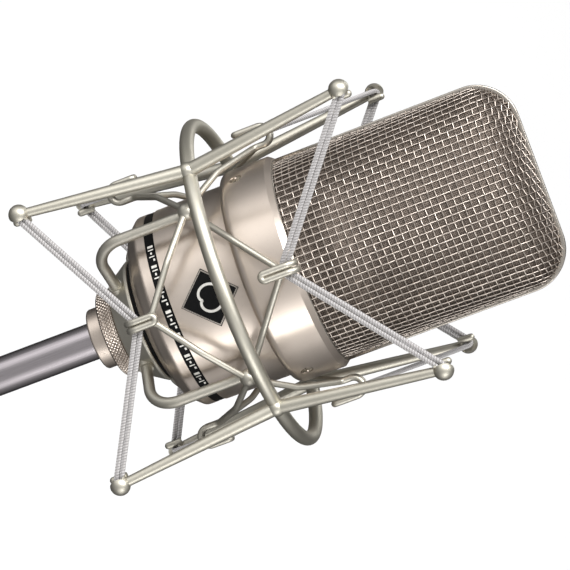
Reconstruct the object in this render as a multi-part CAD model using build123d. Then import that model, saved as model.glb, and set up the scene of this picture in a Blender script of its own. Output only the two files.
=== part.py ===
from build123d import *
import os
from math import cos, radians, sin, sqrt

# Large side-address condenser microphone, hung in an elastic suspension with a swivel stand mount.
# The microphone's axis is Z, grille up; the badge faces -Y. Heights below are counted from the
# collar's top edge. Every part is moved at the end so that the mouth of the stand thread is at 0,0,0.
# Azimuths are in degrees about Z, 0 at -Y (the badge side), 90 at +X.

# Microphone body
collar_r, collar_bottom = 38.9, -19.3
body_r, body_wall, body_top, body_bottom = 35.2, 1.2, -3.0, -45.0
band_r, band_height = 34.9, 3.5
seat_r, seat_z = 23.0, -59.3            # flat under the body that rests on the cushion ring
floor_thickness = 1.8
socket_r, socket_bore_r, socket_end = 9.5, 7.9, -79.7
badge_z, badge_diagonal, badge_thickness = -31.5, 20.8, 0.6
screw_azimuths, screw_z, screw_recess = (64, 116, 244, 296), -12.4, 0.25

# Grille head: elliptical at every height, rounded outline from the front, tapering from the side
head_w, head_h, head_corner = 37.0, 84.4, 15.0
head_taper, head_shoulder = 0.19, 66.0
rim_width, rim_out, rim_in = 3.2, 0.2, 0.9
mesh_thickness, gauze_inset, gauze_thickness = 0.8, 1.4, 0.4
base_ring_bottom, base_ring_top = -3.0, 0.3

# Capsule
capsule_r, capsule_half, capsule_z = 17.0, 3.2, 47.0

# Basket that holds the microphone
cup_top, cup_bottom, cup_rim_r, cup_base_r = -60.7, -69.9, 22.3, 17.2
leg_r, leg_tip_r, leg_reach, leg_z, leg_bend = 2.0, 1.65, 41.3, -65.2, 9.9
joint_r, joint_z, joint_ball = 42.3, -29.8, 3.1
wire_r, wire_gap = 1.15, 0.15
hook_height = 6.6                        # between the hook's inner and outer runs of wire
knurl_r, knurl_height = 15.75, 5.9

# Cage
ring_r, ring_rod_r, ring_z = 58.0, 2.5, -22.2
node_r, node_ball = 59.5, 3.1
rod_r, rod_tip_r, ball_r = 2.45, 1.65, 3.5
rear_ball, front_ball = (68.3, -80.0), (69.1, 35.5)

# Elastic cord: two strands side by side in each of the two zigzag loops
cord_r, cord_clearance = 0.875, 0.08
ball_bend, hook_bend = 3.0, 5.0

# Swivel stand mount behind the ring, and its thread (5/8 inch, 27 to the inch)
pivot_y, pivot_z, pivot_pin_r = 84.0, ring_z, 3.0
eye_r, eye_half, washer_thickness = 9.0, 7.4, 0.8
cheek_thickness, fork_r = 5.0, 11.0
thread_r, thread_depth, bushing_r = 7.94, 20.0, 10.5
socket_body_r, socket_drop = 13.0, 46.0

# Cable plug on the microphone's tail
nut_r, nut_top, nut_bottom = 11.0, -76.1, -81.5
sleeve_r, sleeve_bore_r, sleeve_end, cable_exit_r = 6.65, 5.4, -128.0, 3.2

QUARTERS = (0, 90, 180, 270)
CORNERS = (45, 135, 225, 315)


def polar(radius, azimuth, z):
    """The point at a radius from the microphone's axis, an azimuth and a height."""
    return Vector(radius * sin(radians(azimuth)), -radius * cos(radians(azimuth)), z)


def turned(points, radii=None):
    """A solid of revolution about Z from a closed outline of (radius, height) points."""
    if radii is None:
        outline = Polyline(*points, close=True)
    else:
        outline = FilletPolyline(*points, radius=radii, close=True)
    return revolve(make_face(Plane.XZ * outline), Axis.Z)


def ring(outer, inner, bottom, top):
    return turned([(inner, bottom), (outer, bottom), (outer, top), (inner, top)])


def disc(radius, bottom, top, x=0.0, y=0.0):
    return Pos(x, y, bottom) * Cylinder(radius, top - bottom, align=(Align.CENTER, Align.CENTER, Align.MIN))


def box(low, high):
    size = [b - a for a, b in zip(low, high)]
    return Pos(*low) * Box(*size, align=(Align.MIN, Align.MIN, Align.MIN))


def ball(radius, centre):
    return Pos(*centre) * Sphere(radius)


def tapered(start, end, start_r, end_r):
    """A round rod between two points, tapering from one radius to the other."""
    start, end = Vector(start), Vector(end)
    length = (end - start).length
    return Plane(origin=start, z_dir=end - start) * Cone(
        start_r, end_r, length, align=(Align.CENTER, Align.CENTER, Align.MIN)
    )


def bent(points, bends, radius, close=False):
    """A round rod or cord along straight runs joined by tangent arcs."""
    path = FilletPolyline(*points, radius=bends, close=close)
    section = Plane(origin=path @ 0, z_dir=path % 0) * Circle(radius)
    return sweep(section, path=path)


def across(radius, length, y, z, x=0.0):
    """A cylinder along X, centred at x."""
    return Pos(x, y, z) * Rot(0, 90, 0) * Cylinder(radius, length)


def facing(radius, length, x, y, z):
    """A cylinder along Y, centred at y."""
    return Pos(x, y, z) * Rot(90, 0, 0) * Cylinder(radius, length)


def turned_about(part, azimuth):
    return Rot(0, 0, azimuth) * part


def group(parts):
    """Separate solids kept in one node."""
    return Compound(children=[solid for part in parts for solid in part.solids()])


# ---------------------------------------------------------------- microphone body


def collar_ring():
    part = turned(
        [
            (body_r + 0.05, collar_bottom),
            (collar_r, collar_bottom),
                (collar_r, -1.9),
            (head_w + 0.4, 0.0),
            (head_w + 0.1, 0.0),
            (head_w + 0.1, base_ring_bottom),
            (body_r + 0.05, base_ring_bottom),
        ],
        [0, 3.0, 0, 0, 0, 0, 0],
    )
    for azimuth in screw_azimuths:
        part -= collar_screw(azimuth, 0.0, driver_slot=False)
        part -= collar_screw(azimuth, screw_recess, driver_slot=False)
    return part


def collar_screw(azimuth, recess, driver_slot=True):
    """A slotted countersunk screw, its head just under the collar's surface."""
    head_r, shank_r, head_height = 2.3, 1.2, 1.4
    outer = collar_r - recess
    profile = [
        (0, outer - 3.4),
        (shank_r, outer - 3.4),
        (shank_r, outer - head_height),
        (head_r, outer - 0.3),
        (head_r, outer),
        (0, outer),
    ]
    screw = turned(profile)
    if driver_slot:
        screw -= box((-head_r, -0.3, outer - 0.6), (head_r, 0.3, outer + 1))
    return turned_about(Pos(0, 0, screw_z) * Rot(90, 0, 0) * screw, azimuth)


def collar_screws():
    return group([collar_screw(azimuth, screw_recess) for azimuth in screw_azimuths])


def body_shell():
    return ring(body_r, body_r - body_wall, body_bottom, body_top)


def band_ring():
    return ring(band_r, body_r - body_wall, body_bottom - band_height, body_bottom)


def bottom_shell():
    """The rounded lower end of the body, with a spigot up inside the tube."""
    top = body_bottom - band_height
    spigot_r, spigot_top = body_r - body_wall - 0.05, body_bottom + 4.0
    outer = turned(
        [(0, seat_z), (seat_r, seat_z), (31.5, -56.0), (body_r - 0.2, -52.0), (body_r - 0.2, top), (0, top)],
        [0, 4.0, 5.0, 2.0, 0, 0],
    )
    hollow = turned(
        [(0, seat_z + floor_thickness), (21.5, seat_z + floor_thickness), (30.2, -54.2), (32.6, -51.0),
         (32.6, spigot_top + 1), (0, spigot_top + 1)]
    )
    spigot = disc(spigot_r, top, spigot_top)
    return (outer + spigot) - hollow - disc(socket_r + 0.1, seat_z - 1, seat_z + floor_thickness + 1)


def badge_plate():
    """A square plate set on its corner, curved to the body."""
    skin = ring(body_r + badge_thickness, body_r, badge_z - 15, badge_z + 15)
    side = badge_diagonal / sqrt(2)
    prism = Pos(0, -body_r, badge_z) * Rot(0, 45, 0) * Box(side, 16, side)
    return skin & prism


# ---------------------------------------------------------------- grille head


def half_width(z, inset):
    """Half the head's width seen from the front."""
    corner = head_corner - inset
    above = z - (head_h - head_corner)
    if above <= 0:
        return head_w - inset
    return head_w - head_corner + sqrt(max(corner**2 - above**2, 0.0))


def half_depth(z, inset):
    """Half the head's depth seen from the side: a straight taper, then a rounded shoulder."""
    above = max(z - head_shoulder, 0.0) / (head_h - inset - head_shoulder)
    return (head_w - inset - head_taper * z) * sqrt(max(1 - above**2, 0.002))


def head_solid(inset, bottom):
    top = head_h - inset
    heights = [bottom, 12, 24, 36, 48, 58, 66, 71, 75.5, top - 4.4, top - 2.2, top - 1.0, top - 0.35, top - 0.05]
    sections = [
        Plane(origin=(0, 0, z)) * Ellipse(half_width(z, inset), half_depth(z, inset)) for z in heights
    ]
    return loft(sections)


def shell_halves(inset, thickness):
    """The front and rear halves of a thin shell that follows the head's surface."""
    shell = head_solid(inset, base_ring_top) - head_solid(inset + thickness, base_ring_top - 0.001)
    gap, reach = rim_width / 2, 60
    front = shell & box((-reach, -reach, -1), (reach, -gap, reach * 2))
    rear = shell & box((-reach, gap, -1), (reach, reach, reach * 2))
    return front, rear


def rim_outline(out):
    """The head's outline from the front, grown outwards by out."""
    w, h = head_w + out, head_h + out
    points = [(-w, base_ring_top), (-w, h), (w, h), (w, base_ring_top)]
    corner = head_corner + out
    return make_face(Plane.XZ * FilletPolyline(*points, radius=[0, corner, corner, 0], close=True))


def grille_frame():
    """The flat rim round the head, brazed to a base ring that sits in the collar."""
    strip = extrude(rim_outline(rim_out), rim_width / 2, both=True)
    strip -= extrude(rim_outline(-rim_in), rim_width, both=True)
    foot = ring(head_w, body_r + 0.05, base_ring_bottom, base_ring_top)
    return strip + foot


# ---------------------------------------------------------------- capsule


def capsule_backplate():
    plate = facing(capsule_r, 2 * capsule_half, 0, 0, capsule_z)
    return plate - facing(1.5, 20, 0, 0, capsule_z)


def diaphragms():
    half = capsule_half + 0.1
    return group([facing(capsule_r - 0.3, 0.2, 0, side * half, capsule_z) for side in (-1, 1)])


def clamp_rings():
    middle, thickness = capsule_half + 0.2 + 0.6, 1.2
    rings = []
    for side in (-1, 1):
        part = facing(capsule_r, thickness, 0, side * middle, capsule_z)
        rings.append(part - facing(capsule_r - 3, thickness * 3, 0, side * middle, capsule_z))
    return group(rings)


def capsule_screws():
    heads, count = [], 12
    for side in (-1, 1):
        for k in range(count):
            angle = radians(360 * k / count)
            x, z = (capsule_r - 1.5) * sin(angle), capsule_z + (capsule_r - 1.5) * cos(angle)
            heads.append(facing(0.7, 0.6, x, side * (capsule_half + 1.7), z))
    return group(heads)


def capsule_post():
    """Insulating pillar with a curved saddle under the capsule."""
    saddle_top = capsule_z - capsule_r + 4
    post = disc(4.5, -0.4, saddle_top) + disc(9.0, -0.4, 3.0)
    post += box((-9, -3, saddle_top - 10), (9, 3, saddle_top))
    return post - facing(capsule_r + 0.02, 30, 0, 0, capsule_z)


# ---------------------------------------------------------------- inside the body


def head_plate():
    return disc(body_r - 0.05, body_top + 0.05, -0.45)


def base_plate():
    return ring(27.2, 8.5, -55.3, -53.0)


def chassis_posts():
    return group([turned_about(disc(1.8, -52.95, body_top, 0, -25.0), a) for a in (0, 120, 240)])


def circuit_board():
    return box((-22, 6.0, -52.9), (22, 7.6, -8.0))


def coupling_capacitors():
    return group([across(4.0, 18.0, 11.7, z) for z in (-18.0, -29.0, -40.0)])


def output_transformer():
    core = box((1, -17, -52.9), (21, 1, -30.0))
    winding = box((3.5, -18.5, -48.0), (18.5, 2.5, -35.0))
    return core + winding


def tube_socket():
    return disc(7.0, -52.9, -46.0, -10.0, -8.0)


def amplifier_tube():
    envelope = disc(5.2, -45.9, -16.0, -10.0, -8.0) + ball(5.2, (-10.0, -8.0, -16.0))
    return envelope + disc(1.0, -14.0, -8.5, -10.0, -8.0)


def connector_shell():
    flange = ring(14.0, socket_bore_r, -57.45, -55.35)
    return flange + ring(socket_r, socket_bore_r, socket_end, -57.45)


def socket_insert():
    part = disc(socket_bore_r - 0.05, -66.0, -58.0)
    for x, y in pin_places():
        part -= disc(0.7, -67.0, -57.0, x, y)
    return part


def pin_places():
    """Seven contacts: six on a circle and one in the middle."""
    around = [(4.4 * sin(radians(60 * k)), 4.4 * cos(radians(60 * k))) for k in range(6)]
    return [(0.0, 0.0)] + around


def connector_pins():
    return group([disc(0.7, -72.5, -58.2, x, y) for x, y in pin_places()])


# ---------------------------------------------------------------- cable plug


def plug_insert():
    part = disc(socket_bore_r - 0.15, -77.2, -66.2)
    for x, y in pin_places():
        part -= disc(0.85, -73.0, -66.0, x, y)
    return part


def plug_nut():
    bore = socket_r + 0.05
    return turned(
        [
            (bore, nut_top),
            (nut_r, nut_top),
            (nut_r, nut_bottom),
            (sleeve_r + 0.05, nut_bottom),
            (sleeve_r + 0.05, nut_bottom + 0.9),
            (bore, nut_bottom + 0.9),
        ],
        [0, 0.4, 0.8, 0, 0, 0],
    )


def plug_sleeve():
    """The plug's long polished shell, flanged inside the nut, with the cable's exit in its end."""
    shell = turned(
        [
            (sleeve_bore_r, socket_end - 0.1),
            (socket_r - 0.3, socket_end - 0.1),
            (socket_r - 0.3, socket_end - 0.85),
            (sleeve_r, socket_end - 0.85),
            (sleeve_r, sleeve_end),
            (cable_exit_r, sleeve_end),
            (cable_exit_r, sleeve_end + 6.0),
            (sleeve_bore_r, sleeve_end + 6.0),
        ],
        [0, 0, 0, 0, 2.5, 0, 0, 0],
    )
    return shell


# ---------------------------------------------------------------- basket


def basket_cup():
    """The dished base of the basket, with four bosses for the legs."""
    cup = turned(
        [
            (socket_r + 0.3, cup_bottom),
            (cup_base_r, cup_bottom),
            (cup_rim_r, cup_top - 1.2),
            (cup_rim_r, cup_top),
            (17.6, cup_top),
            (15.4, -66.0),
            (socket_r + 0.3, -66.0),
        ],
        [0, 1.0, 0.6, 0.4, 0, 0, 0],
    )
    for azimuth in CORNERS:
        cup += tapered(polar(17.5, azimuth, leg_z), polar(21.6, azimuth, leg_z), 2.9, 2.5)
    return cup


def cushion_ring():
    return ring(cup_rim_r - 0.5, 17.7, cup_top + 0.02, seat_z - 0.02)


def leg(azimuth):
    """A leg: out from the cup, round a bend, then up beside the body, getting thinner."""
    bend_top = leg_z + leg_bend + 0.3
    foot = bent(
        [polar(21.6, azimuth, leg_z), polar(leg_reach, azimuth, leg_z), polar(leg_reach, azimuth, bend_top)],
        leg_bend,
        leg_r,
    )
    shank = tapered(polar(leg_reach, azimuth, bend_top), polar(leg_reach, azimuth, joint_z), leg_r, leg_tip_r)
    return foot + shank - joint(azimuth)


def joint(azimuth):
    """The brazed knuckle where a leg meets the hook wires."""
    return ball(joint_ball, polar(joint_r, azimuth, joint_z))


def leg_joints():
    return group([joint(azimuth) for azimuth in CORNERS])


def hook_wire(inner_r, apex_z, turn_z, tip_z):
    """One bent wire: from a leg's knuckle to the hook, out and back as a hairpin, and to the next leg.

    inner_r is the radius of the inner run, apex_z the height where the arms meet, turn_z the far end
    of the hook's return bend and tip_z the hairpin's tip.
    """
    half = wire_r + wire_gap / 2
    outer_r = inner_r + hook_height
    middle_z = (joint_z + apex_z) / 2
    mid_r = max(inner_r - 0.6, 42.0)
    arm = [polar(joint_r + 0.8, -45, joint_z), polar(mid_r, -22.5, middle_z)]
    left = arm + [
        Vector(-half, -inner_r, apex_z),
        Vector(-half, -inner_r, turn_z),
        Vector(-half, -outer_r, turn_z),
        Vector(-half, -outer_r, tip_z),
    ]
    right = [Vector(-p.X, p.Y, p.Z) for p in reversed(left)]
    u_bend, tip_bend = hook_height / 2 - 0.02, half - 0.02
    bends = [12.0, 3.0, u_bend, u_bend, tip_bend, tip_bend, u_bend, u_bend, 3.0, 12.0]
    wire = bent(left + right, bends, wire_r)
    for azimuth in (-45, 45):
        wire -= joint(azimuth)
        wire -= leg(azimuth)
    return wire


def rear_hook_wire():
    return hook_wire(42.2, -51.0, -59.05, -48.95)


def front_hook_wire():
    return hook_wire(43.3, -5.0, 1.65, -10.35)


def knurled_ring():
    top, bore = cup_bottom - 0.05, socket_r + 0.05
    bottom = top - knurl_height
    return turned(
        [(bore, bottom), (knurl_r, bottom), (knurl_r, top), (bore, top)],
        [0, 0.5, 0.5, 0],
    )


# ---------------------------------------------------------------- cage and elastic cords


def cord_corners(ball_at, hook_r, hook_z, spacing):
    """The eight corners of each strand of a zigzag loop, and where a strand crosses a ball.

    A strand rounds the post on each ball and the return bend of each hook. The strands lie one
    spacing apart along Z, the second nearer to the cage's ring.
    """
    ball_radius, ball_height = ball_at
    towards_ring = 1 if ball_height < ring_z else -1
    crossing = Vector(ball_radius - 0.8, 0, ball_height - 0.9 * towards_ring)
    hook = polar(hook_r, 0, hook_z)
    apex = polar(crossing.X, 45, crossing.Z)
    next_hook = polar(hook_r, 90, hook_z)
    turn = 180 - (hook - apex).get_angle(next_hook - apex)
    overshoot = ball_bend * (1 / cos(radians(turn / 2)) - 1)
    inward = Vector(hook_r * cos(radians(45)) - crossing.X, 0, hook_z - crossing.Z).normalized()
    corner = crossing - inward * overshoot
    strands = []
    for k in (0, 1):
        lift = k * spacing * towards_ring
        points = []
        for azimuth in QUARTERS:
            points.append(polar(hook_r, azimuth, hook_z + lift))
            points.append(polar(corner.X, azimuth + 45, corner.Z + lift))
        strands.append(points)
    return strands


def rear_corners():
    return cord_corners(rear_ball, 45.85, -55.8, 2.0)


def front_corners():
    return cord_corners(front_ball, 46.9, -2.4, 2.3)


def strand(points, radius):
    """A closed loop of cord, started in the middle of a straight run."""
    middle = (Vector(points[0]) + Vector(points[-1])) / 2
    route = [middle, *points, middle]
    path = FilletPolyline(*route[:-1], radius=[0] + [hook_bend, ball_bend] * 4, close=True)
    edges = path.edges()
    section = Plane(origin=path @ 0, z_dir=path % 0) * Circle(radius)
    return sweep(section, path=Wire(edges))


def elastic(corners):
    return group([strand(points, cord_r) for points in corners])


def cage_ring():
    return Pos(0, 0, ring_z) * Torus(ring_r, ring_rod_r)


def rod_end(ball_at, azimuth):
    """A ball with a notch across its outer end and a small post that the cords pull against."""
    radius, height = ball_at
    outward = -1 if height < ring_z else 1
    local = Plane(origin=polar(radius, azimuth, height), x_dir=polar(1, azimuth, 0), z_dir=(0, 0, outward))
    body = Sphere(ball_r)
    notch_x, notch_bottom = -0.8 + 1.05, -2.3
    body -= box((-6, -6, notch_bottom), (notch_x, 6, 6))
    post_x = -0.8 - 1.0 - 1.3
    post = Pos(post_x, 0, -2.9) * Cylinder(1.3, 5.0, align=(Align.CENTER, Align.CENTER, Align.MIN))
    post += ball(1.3, (post_x, 0, 2.1))
    neck = Pos(-1.0, 0, -2.6) * Cylinder(2.6, 0.9, align=(Align.CENTER, Align.CENTER, Align.MIN))
    return local * (body + post + (neck & Sphere(ball_r + 0.6)))


def cage_rod(azimuth, grooves):
    """A rod bent at the ring, thinning to a notched ball at each end."""
    node = polar(node_r, azimuth, ring_z)
    rod = ball(node_ball, node)
    for ball_at in (rear_ball, front_ball):
        centre = polar(ball_at[0], azimuth, ball_at[1])
        end = centre + (node - centre).normalized() * 2.0
        rod += tapered(node, end, rod_r, rod_tip_r)
        rod += rod_end(ball_at, azimuth)
    rod -= cage_ring()
    for groove in grooves:
        rod -= groove
    return rod


# ---------------------------------------------------------------- swivel stand mount


def ring_bracket():
    """The arm cast round the cage's ring, ending in an eye for the pivot."""
    arm_half, arm_width = 5.0, eye_half
    arm = box((-arm_width, ring_r - 4.4, pivot_z - arm_half), (arm_width, pivot_y, pivot_z + arm_half))
    arm = fillet(arm.edges().filter_by(Axis.Z), 2.0)
    eye = across(eye_r, 2 * eye_half, pivot_y, pivot_z)
    return (arm + eye) - across(pivot_pin_r + 0.05, 60, pivot_y, pivot_z) - cage_ring()


def cheek_inner():
    return eye_half + washer_thickness + 0.1


def stand_socket():
    """A fork for the pivot on a round socket for the stand."""
    inner, outer = cheek_inner(), cheek_inner() + cheek_thickness
    bridge_top = pivot_z - eye_r - 4.0
    bottom = pivot_z - socket_drop
    fork = across(fork_r, 2 * outer, pivot_y, pivot_z)
    fork += box((-outer, pivot_y - fork_r, bridge_top - 7), (outer, pivot_y + fork_r, pivot_z))
    fork -= box((-inner, pivot_y - 20, bridge_top), (inner, pivot_y + 20, pivot_z + 20))
    body = turned(
        [(0, bottom), (socket_body_r, bottom), (socket_body_r, bridge_top - 4), (0, bridge_top - 4)],
        [0, 1.0, 3.0, 0],
    )
    fork += Pos(0, pivot_y, 0) * body
    fork -= across(pivot_pin_r + 0.02, 60, pivot_y, pivot_z)
    return fork - disc(bushing_r, bottom - 1, bottom + thread_depth, 0, pivot_y)


def thread_bushing():
    bottom = pivot_z - socket_drop
    return Pos(0, pivot_y, 0) * ring(bushing_r - 0.01, thread_r, bottom, bottom + thread_depth - 1.0)


def friction_washers():
    middle = eye_half + 0.05 + washer_thickness / 2
    washers = []
    for side in (-1, 1):
        part = across(eye_r - 0.5, washer_thickness, pivot_y, pivot_z, side * middle)
        washers.append(part - across(pivot_pin_r + 0.1, 60, pivot_y, pivot_z))
    return group(washers)


def pivot_bolt():
    outer = cheek_inner() + cheek_thickness
    shank = across(pivot_pin_r, 2 * outer + 11, pivot_y, pivot_z, 4.5)
    head = across(5.5, 4.0, pivot_y, pivot_z, -outer - 2.05)
    slot = box((-outer - 5, pivot_y - 6, pivot_z - 0.6), (-outer - 2.8, pivot_y + 6, pivot_z + 0.6))
    return shank + head - slot


def locking_lever():
    """The clamping lever on the pivot bolt's threaded end."""
    near = cheek_inner() + cheek_thickness + 0.3
    hub_length, arm_length = 12.5, 17.0
    hub = across(6.5, hub_length, pivot_y, pivot_z, near + hub_length / 2)
    hub = fillet(hub.edges().filter_by(GeomType.CIRCLE), 0.8)
    hub -= across(pivot_pin_r + 0.05, hub_length, pivot_y, pivot_z, near + hub_length / 2 - 2.0)
    start = (near + hub_length / 2, pivot_y + 3, pivot_z - 3)
    end = (near + hub_length / 2 + 1, pivot_y + arm_length * 0.7, pivot_z - arm_length * 0.7)
    bore = across(pivot_pin_r + 0.05, hub_length, pivot_y, pivot_z, near + hub_length / 2 - 2.0)
    return hub + (tapered(start, end, 2.2, 1.8) - bore) + ball(3.2, end)


# ---------------------------------------------------------------- writing the parts


def make_parts():
    front_grille, rear_grille = shell_halves(0.0, mesh_thickness)
    front_gauze, rear_gauze = shell_halves(gauze_inset, gauze_thickness)
    parts = {
        "collar_ring": collar_ring(),
        "collar_screws": collar_screws(),
        "body_shell": body_shell(),
        "band_ring": band_ring(),
        "bottom_shell": bottom_shell(),
        "badge_plate": badge_plate(),
        "grille_frame": grille_frame(),
        "front_grille": front_grille,
        "rear_grille": rear_grille,
        "front_gauze": front_gauze,
        "rear_gauze": rear_gauze,
        "capsule_backplate": capsule_backplate(),
        "diaphragms": diaphragms(),
        "clamp_rings": clamp_rings(),
        "capsule_screws": capsule_screws(),
        "capsule_post": capsule_post(),
        "head_plate": head_plate(),
        "base_plate": base_plate(),
        "chassis_posts": chassis_posts(),
        "circuit_board": circuit_board(),
        "coupling_capacitors": coupling_capacitors(),
        "output_transformer": output_transformer(),
        "tube_socket": tube_socket(),
        "amplifier_tube": amplifier_tube(),
        "connector_shell": connector_shell(),
        "socket_insert": socket_insert(),
        "connector_pins": connector_pins(),
        "plug_insert": plug_insert(),
        "plug_nut": plug_nut(),
        "plug_sleeve": plug_sleeve(),
        "basket_cup": basket_cup(),
        "cushion_ring": cushion_ring(),
        "leg_joints": leg_joints(),
        "knurled_ring": knurled_ring(),
        "cage_ring": cage_ring(),
        "ring_bracket": ring_bracket(),
        "stand_socket": stand_socket(),
        "thread_bushing": thread_bushing(),
        "friction_washers": friction_washers(),
        "pivot_bolt": pivot_bolt(),
        "locking_lever": locking_lever(),
        "rear_elastic": elastic(rear_corners()),
        "front_elastic": elastic(front_corners()),
    }
    one_leg, rear_hook, front_hook = leg(45), rear_hook_wire(), front_hook_wire()
    groove_r = cord_r + cord_clearance
    grooves = [strand(points, groove_r) for points in (*rear_corners(), *front_corners())]
    one_rod = cage_rod(45, grooves)
    for k, azimuth in enumerate(QUARTERS):
        parts[f"basket_leg_{k + 1}"] = turned_about(one_leg, azimuth)
        parts[f"rear_hook_{k + 1}"] = turned_about(rear_hook, azimuth)
        parts[f"front_hook_{k + 1}"] = turned_about(front_hook, azimuth)
        parts[f"cage_rod_{k + 1}"] = turned_about(one_rod, azimuth)
    return parts


os.makedirs("parts", exist_ok=True)
to_origin = Pos(0, -pivot_y, socket_drop - pivot_z)
for name, part in make_parts().items():
    export_step(to_origin * part, f"parts/{name}.step")
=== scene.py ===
import math

import bmesh
import bpy
import numpy as np
from mathutils import Matrix, Vector


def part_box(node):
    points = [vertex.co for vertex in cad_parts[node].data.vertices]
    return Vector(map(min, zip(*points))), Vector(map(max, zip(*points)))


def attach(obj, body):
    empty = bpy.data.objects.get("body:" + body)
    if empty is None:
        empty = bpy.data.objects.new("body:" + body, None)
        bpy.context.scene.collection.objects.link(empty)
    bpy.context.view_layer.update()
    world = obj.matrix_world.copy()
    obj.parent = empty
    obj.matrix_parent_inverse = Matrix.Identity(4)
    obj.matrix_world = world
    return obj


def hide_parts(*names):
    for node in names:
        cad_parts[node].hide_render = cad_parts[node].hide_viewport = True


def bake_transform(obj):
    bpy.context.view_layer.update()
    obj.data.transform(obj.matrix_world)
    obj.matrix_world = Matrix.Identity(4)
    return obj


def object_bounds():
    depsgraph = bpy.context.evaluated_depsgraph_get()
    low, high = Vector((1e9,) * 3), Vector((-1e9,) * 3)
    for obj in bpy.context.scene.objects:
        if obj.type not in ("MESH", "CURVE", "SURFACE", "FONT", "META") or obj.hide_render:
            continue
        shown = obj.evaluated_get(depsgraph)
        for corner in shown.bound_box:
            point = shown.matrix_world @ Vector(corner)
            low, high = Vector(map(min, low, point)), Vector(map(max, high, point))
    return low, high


# Large-diaphragm studio condenser microphone hung on elastic cords in a bent-rod cage. It stands
# upright in the frame, grille up, badge towards -Y. AXIS_Y is where its centre line stands, and
# heights on the microphone are counted in millimetres from the collar's top edge.

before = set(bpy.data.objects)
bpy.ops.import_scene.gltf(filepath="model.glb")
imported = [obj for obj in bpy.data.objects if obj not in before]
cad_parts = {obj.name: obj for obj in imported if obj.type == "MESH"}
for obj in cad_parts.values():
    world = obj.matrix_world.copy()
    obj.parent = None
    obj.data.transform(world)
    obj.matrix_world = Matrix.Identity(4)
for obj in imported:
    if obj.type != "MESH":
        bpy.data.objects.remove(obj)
cad_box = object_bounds()
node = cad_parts

# ---------------------------------------------------------------- body tube, collar and lower shell
# Turned brass tube, collar and rounded lower shell, bead-blasted and plated with satin nickel. The
# plating has a warm champagne tone and a soft, slightly grainy sheen, with tiny darker specks.

AXIS_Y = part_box("cage_ring")[0][1] / 2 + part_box("cage_ring")[1][1] / 2
TOP_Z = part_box("collar_ring")[1][2]


def place(x, y, z):
    """Millimetres from the microphone's axis and the collar's top edge, to metres in the frame."""
    return Vector((x / 1000, AXIS_Y + y / 1000, TOP_Z + z / 1000))


def srgb(code, alpha=1.0):
    """A hex colour as linear numbers."""
    parts = [int(code[i : i + 2], 16) / 255 for i in (0, 2, 4)]
    return [p / 12.92 if p <= 0.04045 else ((p + 0.055) / 1.055) ** 2.4 for p in parts] + [alpha]


def add(tree, kind, settings=None, **links):
    """Adds a node. Settings are its properties or socket values; links are what feeds its sockets."""
    made = tree.nodes.new(kind)
    for key, value in (settings or {}).items():
        if isinstance(key, int):
            made.inputs[key].default_value = value
        elif key in made.inputs and not hasattr(made, key):
            made.inputs[key].default_value = value
        else:
            setattr(made, key, value)
    for key, source in links.items():
        tree.links.new(source, made.inputs[int(key[2:])] if key.startswith("in") else made.inputs[key])
    return made


def start_material(name):
    material = bpy.data.materials.new(name)
    material.use_nodes = True
    tree = material.node_tree
    shader = tree.nodes["Principled BSDF"]
    return material, tree, shader


def speckle(tree, size_mm, detail, where=None):
    """Noise from 0 to 1 in blotches about size_mm across, in the object's frame unless told where."""
    if where is None:
        where = add(tree, "ShaderNodeTexCoord").outputs["Object"]
    settings = {"Scale": 1000 / size_mm, "Detail": detail}
    return add(tree, "ShaderNodeTexNoise", settings, Vector=where).outputs["Fac"]


def between(tree, light, dark, share):
    """The colour that lies a share of the way from light to dark."""
    return add(tree, "ShaderNodeMixRGB", {1: srgb(light), 2: srgb(dark)}, Fac=share).outputs[0]


def rescaled(tree, value, low, high, new_low=0.0, new_high=1.0):
    """A value between low and high moved to lie between new_low and new_high, and held there."""
    ends = {1: low, 2: high, 3: new_low, 4: new_high}
    return add(tree, "ShaderNodeMapRange", ends, Value=value).outputs[0]


def bumps(tree, height, strength, depth_mm):
    """The normal that shows a height as relief."""
    settings = {"Strength": strength, "Distance": depth_mm / 1000}
    return add(tree, "ShaderNodeBump", settings, Height=height).outputs[0]


def feed(tree, shader, inputs):
    """Gives a shader its inputs: another node's output is linked, a plain value is set."""
    for key, value in inputs.items():
        if isinstance(value, bpy.types.NodeSocket):
            tree.links.new(value, shader.inputs[key])
        else:
            shader.inputs[key].default_value = value


CLOUD_MM = 14
SPECK, SPECK_SHARE, SPECK_EDGE, SPECK_STRENGTH = "4a423a", 0.30, 0.06, 0.35


def blasted_metal(name, light, dark, roughness, grain_mm, relief):
    """A blasted and plated metal: fine grain in the relief, slow cloudiness in the tone, a few specks."""
    material, tree, shader = start_material(name)
    grain = speckle(tree, grain_mm, 3.0)
    tone = between(tree, light, dark, speckle(tree, CLOUD_MM, 2.0))
    few = rescaled(tree, grain, SPECK_SHARE, SPECK_SHARE - SPECK_EDGE, 0.0, SPECK_STRENGTH)
    colour = add(tree, "ShaderNodeMixRGB", {2: srgb(SPECK)}, Fac=few, Color1=tone).outputs[0]
    rough = rescaled(tree, grain, 0.3, 0.7, roughness - 0.04, roughness + 0.05)
    bump = bumps(tree, grain, relief, 0.05)
    feed(tree, shader, {"Base Color": colour, "Roughness": rough, "Normal": bump, "Metallic": 1.0})
    return material


def finish_node(name, material):
    """Gives a CAD node its material in place of the plain one."""
    slots = node[name].data.materials
    slots.clear()
    slots.append(material)


champagne_nickel = blasted_metal("satin champagne nickel plate", "dfd3c8", "cfc2b6", 0.36, 0.45, 0.3)
for name in ("collar_ring", "body_shell", "bottom_shell"):
    finish_node(name, champagne_nickel)

# ---------------------------------------------------------------- grille frame
# Flat rim bent round the head from half-hard strip, its edges rolled round, brazed to a turned base
# ring, ground and plated in bright nickel: a clear light line between two thin dark ones.

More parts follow.
